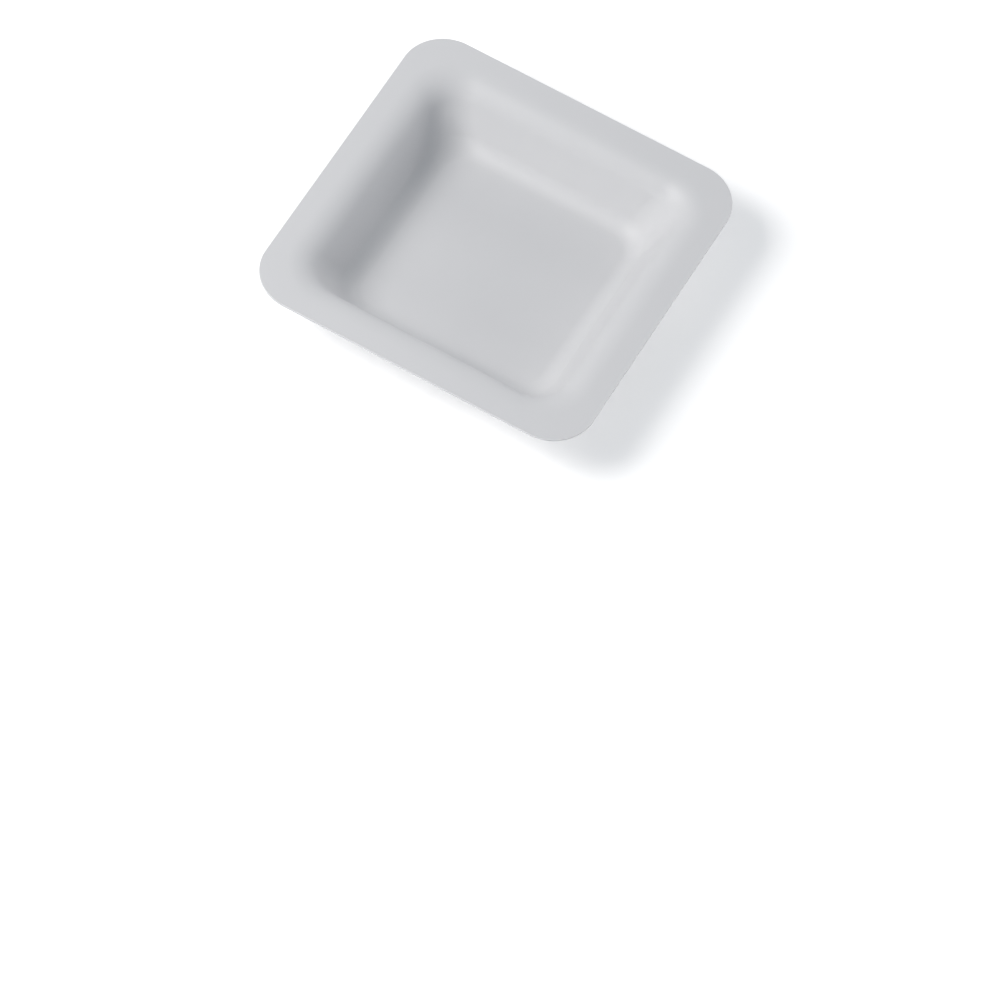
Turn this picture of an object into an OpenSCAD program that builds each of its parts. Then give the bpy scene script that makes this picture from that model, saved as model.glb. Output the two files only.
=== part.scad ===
// Square weighing boat: a shallow dish drawn from one thin plastic sheet.
// The flat rim is trimmed square with round corners. It rolls softly down into
// leaning walls, which meet the flat floor in a smaller radius.
// The boat stands on its base at z = 0, centred on X and Y, with the rim on top.

/* [Overall] */

// Width of the boat across its rim, the same along X and Y (mm)
rim_span = 46; // [36:1:70]

// Height from the base to the top of the rim (mm)
boat_h = 8; // [6:0.5:11]

// Thickness of the sheet (mm)
sheet = 0.3; // [0.2:0.05:0.6]

/* [Rim] */

// Flat land between the trimmed edge and the start of the roll (mm)
land_w = 2.3; // [1:0.1:5]

// Radius of the rim's trimmed corners, seen from above (mm)
rim_corner_r = 5.8; // [2:0.2:8]

// Radius of the roll from the rim down into the wall, on the upper face (mm)
roll_r = 4.2; // [2:0.2:6]

/* [Pan] */

// How far the walls lean out for each mm that they rise (mm)
wall_lean = 0.48; // [0.3:0.02:0.7]

// Radius between the walls and the floor, on the upper face (mm)
floor_r = 3; // [1:0.2:5]

// Radius of the pan's upright corners, on the upper face (mm)
corner_r = 4.2; // [2:0.2:8]

/* [Hidden] */

$fn = 96;

// Each round runs this far past its tangent points, so it meets its neighbours on a clean line.
lap = 0.0002;
// Least radius that the upright corners keep where they reach the floor.
corner_r_least = 0.5;
// Longer than anything here: the length of the blocks that trim.
long = 2 * rim_span;

lean_angle = atan(wall_lean);
// Distance from a round's tangent point to the sharp corner that it replaces, for a radius of 1.
tangent_share = tan(45 - lean_angle / 2);
// The floor's radius is limited by the room that the upright corners leave it.
floor_round = min(floor_r, (corner_r - corner_r_least) / tangent_share);

// Centre of the roll, in the section of one side: [distance from the middle, height].
roll_centre = [rim_span / 2 - land_w, boat_h - roll_r];
// Where the upper face of the wall is at a height z.
function wall_x(z) =
    roll_centre[0] - roll_r / cos(lean_angle) + (z - roll_centre[1]) * wall_lean;
// Centre of the round between wall and floor.
floor_centre_z = sheet + floor_round;
floor_centre = [wall_x(floor_centre_z) - floor_round / cos(lean_angle), floor_centre_z];

// Centre of an upright corner at z = 0. It moves out with the walls as they rise.
corner_centre = steady(wall_x(0) - corner_r);

// Places that two pieces share are kept to a tenth of a micron.
function steady(v) = round(v * 10000) / 10000;

// Half a cross-section of what the pan encloses, from the middle out to one wall.
// skin is 0 for the upper face of the sheet, and the sheet's thickness for its lower face.
module half_section(skin, top) {
    to_wall = [cos(lean_angle), -sin(lean_angle)];
    difference() {
        union() {
            polygon([
                [0, -boat_h],
                [floor_centre[0], -boat_h],
                [floor_centre[0], sheet - skin],
                floor_centre + (floor_round + skin) * to_wall,
                roll_centre - (roll_r - skin) * to_wall,
                roll_centre,
                [roll_centre[0], top],
                [0, top]
            ]);
            intersection() {
                translate(floor_centre) circle(r = floor_round + skin + lap);
                translate([floor_centre[0] - floor_round / 2, -boat_h])
                    square([2 * floor_round, boat_h + floor_centre[1]]);
            }
        }
        translate(roll_centre) circle(r = roll_r - skin + lap);
    }
}

// Moves a shape out with the walls as it rises, along Y, or along X and Y.
module lean_y() {
    multmatrix([[1, 0, 0, 0], [0, 1, wall_lean, corner_centre], [0, 0, 1, 0]]) children();
}

module lean_xy() {
    multmatrix([[1, 0, wall_lean, corner_centre], [0, 1, wall_lean, corner_centre], [0, 0, 1, 0]])
        children();
}

// Undoes that lean in a section, so the corner's centre stands upright for the turn.
module unlean_section() {
    multmatrix([[1, -wall_lean, 0, -corner_centre], [0, 1, 0, 0], [0, 0, 1, 0]]) children();
}

// Everything on the middle's side of a pair of upright corners.
module between_corners() {
    lean_y() translate([-long / 2, -long, -long / 2]) cube(long);
}

// The straight stretch of two facing walls, from corner to corner.
module straight(skin, top) {
    intersection() {
        rotate([90, 0, 0]) linear_extrude(height = rim_span, center = true) {
            half_section(skin, top);
            mirror([1, 0, 0]) half_section(skin, top);
        }
        between_corners();
        mirror([0, 1, 0]) between_corners();
    }
}

// One upright corner: the same section turned through a quarter, leaning out as it rises.
module upright_corner(skin, top) {
    lean_xy() rotate_extrude(angle = 90) intersection() {
        unlean_section() half_section(skin, top);
        translate([0, -long / 2]) square(long);
    }
}

// All that the pan encloses, down to one face of the floor.
module pan(skin, top) {
    difference() {
        union() {
            straight(skin, top);
            rotate(90) straight(skin, top);
            for (turn = [0 : 90 : 270]) rotate(turn) upright_corner(skin, top);
        }
        translate([-long / 2, -long / 2, sheet - skin - long]) cube(long);
    }
}

// The flat sheet at rim height, trimmed square with round corners.
module rim_sheet() {
    centre = steady(rim_span / 2 - rim_corner_r);
    translate([0, 0, boat_h - sheet]) linear_extrude(height = sheet) {
        square([rim_span, 2 * centre], center = true);
        square([2 * centre, rim_span], center = true);
        for (x = [-centre, centre], y = [-centre, centre])
            translate([x, y]) circle(r = rim_span / 2 - centre);
    }
}

module boat() {
    color([0.84, 0.85, 0.86])
        difference() {
            union() {
                rim_sheet();
                pan(sheet, boat_h - sheet);
            }
            pan(0, 2 * boat_h);
        }
}

boat();
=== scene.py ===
# %% [markdown]
# # A square weighing boat
# A weighing boat is the small dish that holds powder on a laboratory balance. It is drawn from one thin
# white plastic sheet: a flat floor, leaning walls, a soft roll at the top and a flat rim that a die
# trims square with round corners. The whole lesson is one surface, so its curves and its satin finish
# have to carry it.

import math

import bmesh
import bpy
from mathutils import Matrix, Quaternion, Vector


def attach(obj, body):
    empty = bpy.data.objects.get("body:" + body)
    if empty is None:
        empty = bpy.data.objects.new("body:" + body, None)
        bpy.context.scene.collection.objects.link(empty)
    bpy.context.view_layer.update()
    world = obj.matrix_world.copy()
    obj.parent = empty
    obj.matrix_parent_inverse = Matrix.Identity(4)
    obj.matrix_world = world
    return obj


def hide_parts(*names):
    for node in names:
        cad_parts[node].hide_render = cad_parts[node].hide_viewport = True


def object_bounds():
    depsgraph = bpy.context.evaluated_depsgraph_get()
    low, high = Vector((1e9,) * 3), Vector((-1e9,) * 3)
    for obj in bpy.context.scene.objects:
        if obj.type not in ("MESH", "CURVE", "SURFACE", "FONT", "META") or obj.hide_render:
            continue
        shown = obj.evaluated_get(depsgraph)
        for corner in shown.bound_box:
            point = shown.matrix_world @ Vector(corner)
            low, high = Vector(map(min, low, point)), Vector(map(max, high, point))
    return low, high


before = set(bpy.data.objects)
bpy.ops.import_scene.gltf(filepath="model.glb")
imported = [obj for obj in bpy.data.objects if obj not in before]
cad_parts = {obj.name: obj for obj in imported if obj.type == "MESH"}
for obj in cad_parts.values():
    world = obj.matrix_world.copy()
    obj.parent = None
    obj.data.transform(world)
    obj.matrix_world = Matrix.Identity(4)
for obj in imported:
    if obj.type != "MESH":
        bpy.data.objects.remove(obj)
cad_low, cad_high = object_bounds()
MM = 0.001
print("frame box, mm:", [round(side / MM, 2) for side in cad_high - cad_low])

# %% [markdown]
# The outside sizes come from the frame. The sizes of the section are given in millimetres, as a toolmaker
# gives them, and `MM` turns them into metres. Both rounds of the section are plain arcs, so the lesson
# needs only their centres and the angle that they turn through.

# %% Sizes of the sheet and its section
RIM_HALF = (cad_high.x - cad_low.x) / 2
RIM_TOP = cad_high.z
SHEET = 0.3 * MM
LAND = 2.3 * MM
RIM_CORNER_R = 5.8 * MM
ROLL_R = 4.2 * MM
FLOOR_R = 3.0 * MM
CORNER_R = 4.2 * MM
LEAN = 0.48

lean_angle = math.atan(LEAN)
turn = math.pi / 2 - lean_angle
roll_x = RIM_HALF - LAND
roll_z = RIM_TOP - ROLL_R


def wall_x(z):
    """How far out the upper face of the wall is at height z."""
    return roll_x - ROLL_R / math.cos(lean_angle) + (z - roll_z) * LEAN


round_z = SHEET + FLOOR_R
round_x = wall_x(round_z) - FLOOR_R / math.cos(lean_angle)
print("turn of each round, degrees:", round(math.degrees(turn), 1))
print("flat floor, mm:", round(2 * round_x / MM, 2))

# %% [markdown]
# The upper face is a stack of rounded squares: the floor, the floor round, the wall, the roll and the
# land of the rim. A row is one such square, with its half width, its height and its corner radius. The
# upright corners lean out with the walls, so their centres do too, and the rows stay evenly spaced
# round the corners, where light shows every fault.

# %% The rows of the upper face, from the floor outwards
ROUND_STEPS = 16


def row(half, z):
    """A rounded square whose corners follow the leaning walls."""
    return half, z, half - (wall_x(z) - CORNER_R)


rows = []
for step in range(ROUND_STEPS + 1):
    angle = turn * step / ROUND_STEPS
    rows.append(row(round_x + FLOOR_R * math.sin(angle), round_z - FLOOR_R * math.cos(angle)))
for step in range(ROUND_STEPS + 1):
    angle = turn * (1 - step / ROUND_STEPS)
    rows.append(row(roll_x - ROLL_R * math.sin(angle), roll_z + ROLL_R * math.cos(angle)))
rows.append((RIM_HALF, RIM_TOP, RIM_CORNER_R))
print("rows:", len(rows), "opening at the land, mm:", round(2 * rows[-2][0] / MM, 2))

# %% [markdown]
# A new row starts as the open edge of the sheet, extruded and then opened out: each quarter of it is moved
# along its diagonal and resized about its own corner centre. A row of an exact size beats a bevelled box
# here, because a bevel on a leaning round corner drifts from the true section.

# %% How a row is drawn
CORNER_STEPS = 24
QUARTERS = [(-1, -1), (-1, 1), (1, -1), (1, 1)]


def deselect_all():
    """Object mode, with nothing selected."""
    if bpy.context.object and bpy.context.object.mode != "OBJECT":
        bpy.ops.object.mode_set(mode="OBJECT")
    bpy.ops.object.select_all(action="DESELECT")


def extrude_row(piece, was, new):
    """Extrudes the selected edge of the sheet from one row to the next, and leaves it selected."""
    half_was, z_was, radius_was = was
    half, z, radius = new
    centre = half - radius
    out = centre - (half_was - radius_was)
    grow = radius / radius_was
    bpy.ops.mesh.extrude_edges_move(TRANSFORM_OT_translate={"value": (0, 0, z - z_was)})
    mesh = bmesh.from_edit_mesh(piece.data)
    edge = [point for point in mesh.verts if point.select]
    for side_x, side_y in QUARTERS:
        bpy.ops.mesh.select_all(action="DESELECT")
        for point in edge:
            point.select_set(point.co.x * side_x > 0 and point.co.y * side_y > 0)
        mesh.select_flush_mode()
        bpy.ops.transform.translate(value=(side_x * out, side_y * out, 0))
        bpy.ops.transform.resize(
            value=(grow, grow, 1),
            center_override=(side_x * centre, side_y * centre, z),
        )
    for point in edge:
        point.select_set(True)
    mesh.select_flush_mode()


# %% [markdown]
# Now the rows are drawn one after another. The first plane gets its round corners from a bevel of its four
# points, and each row after it grows from the open edge, floor first and rim last, as the sheet is drawn
# over the mould.

# %% The drawn sheet
deselect_all()
first_half, first_z, first_radius = rows[0]
bpy.ops.mesh.primitive_plane_add(size=2 * first_half, location=(0, 0, first_z))
boat = bpy.context.object
boat.name = "drawn_sheet"
bpy.ops.object.transform_apply(location=True, rotation=True, scale=True)
bpy.ops.object.mode_set(mode="EDIT")
bpy.ops.mesh.select_mode(type="VERT")
bpy.ops.mesh.select_all(action="SELECT")
bpy.ops.mesh.bevel(offset=first_radius, segments=CORNER_STEPS, affect="VERTICES", profile=0.5)
for was, new in zip(rows, rows[1:]):
    extrude_row(boat, was, new)
bpy.ops.mesh.select_all(action="SELECT")
bpy.ops.mesh.normals_make_consistent(inside=False)
bpy.ops.object.mode_set(mode="OBJECT")
print("faces of the upper side:", len(boat.data.polygons))

# %% [markdown]
# The real dish has the thickness of its sheet and a die-cut edge that is very slightly dull. Solidify
# gives the first, downwards from the upper face, and a small bevel gives the second. Smooth shading with
# weighted normals keeps the flat floor, walls and rim truly flat beside the rounds.

# %% Thickness, trimmed edge and shading
TRIM_R = 0.05 * MM
TRIM_STEPS = 3
TRIM_ANGLE = math.radians(60)
SHARP_ANGLE = math.radians(40)

up_facing = sum(face.normal.z > 0 for face in boat.data.polygons)
print("faces that look up:", up_facing, "of", len(boat.data.polygons))
sheet = boat.modifiers.new("sheet", "SOLIDIFY")
sheet.thickness = SHEET
sheet.offset = -1
sheet.use_even_offset = True
trim = boat.modifiers.new("trim", "BEVEL")
trim.width = TRIM_R
trim.segments = TRIM_STEPS
trim.limit_method = "ANGLE"
trim.angle_limit = TRIM_ANGLE
deselect_all()
boat.select_set(True)
bpy.context.view_layer.objects.active = boat
for name in [modifier.name for modifier in boat.modifiers]:
    bpy.ops.object.modifier_apply(modifier=name)
bpy.ops.object.shade_smooth_by_angle(angle=SHARP_ANGLE)
flat = boat.modifiers.new("flat", "WEIGHTED_NORMAL")
flat.keep_sharp = True
bpy.ops.object.modifier_apply(modifier=flat.name)
print("faces of the sheet:", len(boat.data.polygons))
print("size, mm:", [round(side / MM, 3) for side in boat.dimensions])

# %% [markdown]
# The frame already holds the dish as a plain solid, which the physics uses to rest and collide. The drawn
# sheet takes its place to the eye and rides on the same body. Nothing on the dish moves, so there is only
# one body, called root.

# %% The frame's names for it
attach(boat, "root")
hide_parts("boat")

# %% [markdown]
# Now the finish. Shader maths reads best as plain expressions, so one small class holds a socket, and
# `+`, `-` and `*` between sockets add the Math nodes. Every other node comes from its `node` method, which
# takes the kind of node, its settings, and the values or sockets that go in.

# %% A socket that does arithmetic
class Socket:
    """An output socket in a material's node tree."""

    def __init__(self, tree, socket=None):
        self.tree = tree
        self.socket = socket

    def node(self, kind, settings=None, inputs=None, output=0):
        """Adds a node, and returns one of its outputs. Inputs go by name or number."""
        made = self.tree.nodes.new(kind)
        for name, value in (settings or {}).items():
            setattr(made, name, value)
        for name, value in (inputs or {}).items():
            if isinstance(value, Socket):
                self.tree.links.new(value.socket, made.inputs[name])
            else:
                made.inputs[name].default_value = value
        return Socket(self.tree, made.outputs[output] if made.outputs else None)

    def maths(self, operation, first, second=0.0):
        """One Math node."""
        return self.node("ShaderNodeMath", {"operation": operation}, {0: first, 1: second})

    def __add__(self, other):
        return self.maths("ADD", self, other)

    def __sub__(self, other):
        return self.maths("SUBTRACT", self, other)

    def __rsub__(self, other):
        return self.maths("SUBTRACT", other, self)

    def __mul__(self, other):
        return self.maths("MULTIPLY", self, other)

    __radd__ = __add__
    __rmul__ = __mul__


def new_material(name):
    """A material with an empty tree, and a first socket to build its nodes from."""
    made = bpy.data.materials.new(name)
    made.use_nodes = True
    made.node_tree.nodes.clear()
    return made, Socket(made.node_tree)


# %% [markdown]
# The sheet is white polystyrene with a satin face. Its patterns are all worked out from Object
# coordinates, in metres, so they stay put on the dish. A noise pattern is given here by the size of its
# features, and it runs from 0 to 1.

# %% Patterns on the plastic
plastic, dish = new_material("white_plastic")
place = dish.node("ShaderNodeTexCoord", output="Object")


def noise(feature, detail):
    """A noise pattern with features of about this size, in metres."""
    return dish.node("ShaderNodeTexNoise", inputs={
        "Vector": place,
        "Scale": 1 / feature,
        "Detail": detail,
    })


cloud = noise(feature=11 * MM, detail=3)
mottle = noise(feature=1.4 * MM, detail=2)
ripple = noise(feature=7.5 * MM, detail=1)
grain = noise(feature=0.2 * MM, detail=2)
print("nodes in the patterns:", len(plastic.node_tree.nodes))

# %% [markdown]
# The die leaves its own mark: the trimmed edge is torn a little, so it is whiter and duller than the
# face. A mask finds it by distance. Past the straight part of each side, the rim turns round a corner
# centre, so the distance from that centre says how near the edge a point is.

# %% The trimmed edge
EDGE_START = RIM_CORNER_R - 0.10 * MM
EDGE_FULL = RIM_CORNER_R - 0.02 * MM

straight = RIM_HALF - RIM_CORNER_R
print("straight part of each side, mm:", round(2 * straight / MM, 2))


def past_straight(axis):
    """How far a point is past the straight part of a side."""
    along = dish.node("ShaderNodeSeparateXYZ", inputs={0: place}, output=axis)
    return dish.maths("MAXIMUM", dish.maths("ABSOLUTE", along) - straight, 0.0)


over_x = past_straight("X")
over_y = past_straight("Y")
edge = dish.node("ShaderNodeMapRange", {"interpolation_type": "SMOOTHSTEP"}, {
    "Value": dish.maths("SQRT", over_x * over_x + over_y * over_y),
    "From Min": EDGE_START,
    "From Max": EDGE_FULL,
})

# %% [markdown]
# Close up, the plastic is not one flat tone. The resin clouds very slightly, the grain of the mould
# scatters the shine, and formed sheet is never perfectly even, so its reflections waver. The shine
# carries most of the look, so the grain and the ripple go into the bump and not into the colour. A Mix node
# has a set of sockets for each kind of data under the same names, so its colour sockets go by number.

# %% The plastic
SHEET_TONE = (0.680, 0.682, 0.692, 1)
CLOUD_TONE = (0.660, 0.662, 0.673, 1)
EDGE_TONE = (0.76, 0.763, 0.77, 1)
ROUGHNESS = 0.39
MOTTLE_ROUGHNESS = 0.06
EDGE_ROUGHNESS = 0.2
SHINE = 0.25
RIPPLE_HEIGHT = 0.008 * MM
GRAIN_HEIGHT = 0.0012 * MM
MIX_FACTOR = 0
MIX_FIRST = 6
MIX_SECOND = 7
MIX_RESULT = 2


def mix_colour(factor, first, second):
    """The first colour where the factor is 0, and the second where it is 1."""
    return dish.node(
        "ShaderNodeMix",
        {"data_type": "RGBA"},
        {MIX_FACTOR: factor, MIX_FIRST: first, MIX_SECOND: second},
        MIX_RESULT,
    )


relief = dish.node("ShaderNodeBump", inputs={
    "Distance": 1.0,
    "Height": ripple * RIPPLE_HEIGHT + grain * GRAIN_HEIGHT,
})
surface = dish.node("ShaderNodeBsdfPrincipled", inputs={
    "Base Color": mix_colour(edge, mix_colour(cloud, SHEET_TONE, CLOUD_TONE), EDGE_TONE),
    "Roughness": ROUGHNESS + MOTTLE_ROUGHNESS * mottle + EDGE_ROUGHNESS * edge,
    "Specular IOR Level": SHINE,
    "Normal": relief,
})
dish.node("ShaderNodeOutputMaterial", inputs={"Surface": surface})
boat.data.materials.clear()
boat.data.materials.append(plastic)
print("nodes in the plastic:", len(plastic.node_tree.nodes))

# %% [markdown]
# The stage is a plain white table. It lights the dish from below as any table does, so its own colour is
# a natural white. It should also look pure white where nothing shades it, so camera, glossy and
# transmission rays see some glow added, through a Mix Shader whose first side is left empty. The glow
# is weaker near the dish, so its shadow still shows.

# %% The table
TABLE_SIZE = 8
TABLE_GAP = 0.02 * MM
TABLE_WHITE = (0.9, 0.9, 0.9, 1)
GLOW_START = 50 * MM
GLOW_FULL = 300 * MM
GLOW_LEAST = 0.35


def seen_directly(start):
    """1 for camera, glossy and transmission rays, and 0 for rays that only carry light."""
    camera_ray = start.node("ShaderNodeLightPath", output="Is Camera Ray")
    glossy_ray = start.node("ShaderNodeLightPath", output="Is Glossy Ray")
    through_ray = start.node("ShaderNodeLightPath", output="Is Transmission Ray")
    return start.maths("MINIMUM", camera_ray + glossy_ray + through_ray, 1.0)


paper, table = new_material("white_table")
middle_distance = table.node("ShaderNodeVectorMath", {"operation": "LENGTH"}, {
    0: table.node("ShaderNodeTexCoord", output="Object"),
}, "Value")
glow = table.node("ShaderNodeMapRange", {"interpolation_type": "SMOOTHSTEP"}, {
    "Value": middle_distance,
    "From Min": GLOW_START,
    "From Max": GLOW_FULL,
    "To Min": GLOW_LEAST,
    "To Max": 1.0,
})
added_glow = table.node("ShaderNodeMixShader", inputs={
    0: seen_directly(table) * glow,
    2: table.node("ShaderNodeEmission", inputs={"Strength": 1.0}),
})
both = table.node("ShaderNodeAddShader", inputs={
    0: table.node("ShaderNodeBsdfDiffuse", inputs={"Color": TABLE_WHITE}),
    1: added_glow,
})
table.node("ShaderNodeOutputMaterial", inputs={"Surface": both})

deselect_all()
bpy.ops.mesh.primitive_plane_add(size=TABLE_SIZE, location=(0, 0, -TABLE_GAP))
floor = bpy.context.object
floor.name = "floor"
floor.data.materials.append(paper)
print("table, m:", TABLE_SIZE, "nodes in its finish:", len(paper.node_tree.nodes))

# %% [markdown]
# The dish is seen from above and a little to the right, through a long lens, with the camera rolled a
# few degrees. `direction` turns an azimuth and an elevation into a direction, and the lamps use it too.

# %% Camera
AIM = Vector((17.1, -28.4, 0)) * MM
AZIMUTH = 21.2
ELEVATION = 58.4
DISTANCE = 789 * MM
ROLL = math.radians(9.5)
LENS = 234
SENSOR = 36
NEAREST = 0.01
FARTHEST = 20


def direction(azimuth, elevation):
    """The direction from the dish at these degrees. Azimuth 0 is the front, and 90 the right."""
    round_about = math.radians(azimuth)
    upwards = math.radians(elevation)
    return Vector((
        math.sin(round_about) * math.cos(upwards),
        -math.cos(round_about) * math.cos(upwards),
        math.sin(upwards),
    ))


def look_back(thing, towards):
    """Turns a camera or lamp so that its back is in this direction."""
    thing.rotation_mode = "QUATERNION"
    thing.rotation_quaternion = towards.to_track_quat("Z", "Y")


back = direction(AZIMUTH, ELEVATION)
deselect_all()
bpy.ops.object.camera_add(location=AIM + back * DISTANCE)
camera = bpy.context.object
camera.name = "camera"
look_back(camera, back)
camera.rotation_quaternion = camera.rotation_quaternion @ Quaternion((0, 0, 1), ROLL)
camera.data.lens = LENS
camera.data.sensor_width = SENSOR
camera.data.clip_start = NEAREST
camera.data.clip_end = FARTHEST
bpy.context.scene.camera = camera
print("camera, mm:", [round(value / MM) for value in camera.location])

# %% [markdown]
# One softbox does most of the work. It stands half a metre away on the left, so the left wall of the pan
# falls into its own soft shade and a dull highlight runs along the far roll. Three small low lamps graze
# in over the rim and stop the walls going black. They are hidden from glossy rays, or the flat rim would
# mirror them as glare in a low view. The world adds a little cool light from all round, as a pale room
# does, and the lamps are a touch warm beside it, so white stays white.

# %% Lamps
LAMP_TINT = (1.0, 0.978, 0.957)


def add_lamp(name, azimuth, elevation, distance, size, power):
    """A square softbox that faces the dish. Sizes are in metres and power in watts."""
    towards = direction(azimuth, elevation)
    deselect_all()
    bpy.ops.object.light_add(type="AREA", location=towards * distance)
    lamp = bpy.context.object
    lamp.name = name
    lamp.data.shape = "SQUARE"
    lamp.data.size = size
    lamp.data.energy = power
    lamp.data.color = LAMP_TINT
    look_back(lamp, towards)
    return lamp


softbox = add_lamp("softbox", azimuth=-57, elevation=48, distance=0.5, size=0.25, power=1.94)
fills = [
    add_lamp("fill_right", azimuth=130, elevation=10, distance=0.6, size=0.18, power=0.88),
    add_lamp("fill_back", azimuth=180, elevation=18, distance=0.6, size=0.25, power=0.70),
    add_lamp("fill_front", azimuth=20, elevation=18, distance=0.6, size=0.25, power=0.55),
]
for fill in fills:
    fill.visible_glossy = False
print("lamps, W:", {lamp.name: round(lamp.data.energy, 2) for lamp in [softbox, *fills]})

# %% [markdown]
# The world is asked two things. As a light it should be dim and a little cool. As a background it should
# be plain white, so a horizon never shows behind the table. Light Path tells the two apart.

# %% World
ROOM_TINT = (0.80, 0.89, 1.0, 1)
ROOM_LIGHT = 0.27

world = bpy.data.worlds.new("studio")
world.use_nodes = True
world.node_tree.nodes.clear()
bpy.context.scene.world = world
room = Socket(world.node_tree)
direct = seen_directly(room)
backdrop = room.node("ShaderNodeMixShader", inputs={
    0: direct,
    1: room.node("ShaderNodeBackground", inputs={"Color": ROOM_TINT, "Strength": ROOM_LIGHT}),
    2: room.node("ShaderNodeBackground", inputs={"Color": (1, 1, 1, 1), "Strength": 1.0}),
})
room.node("ShaderNodeOutputWorld", inputs={"Surface": backdrop})
bpy.context.scene.view_settings.view_transform = "Standard"
print("view transform:", bpy.context.scene.view_settings.view_transform)

# %% [markdown]
# The sheet should fill the frame's box exactly, because looks never change a size.

# %% Bringing the scene up to date
bpy.context.view_layer.update()
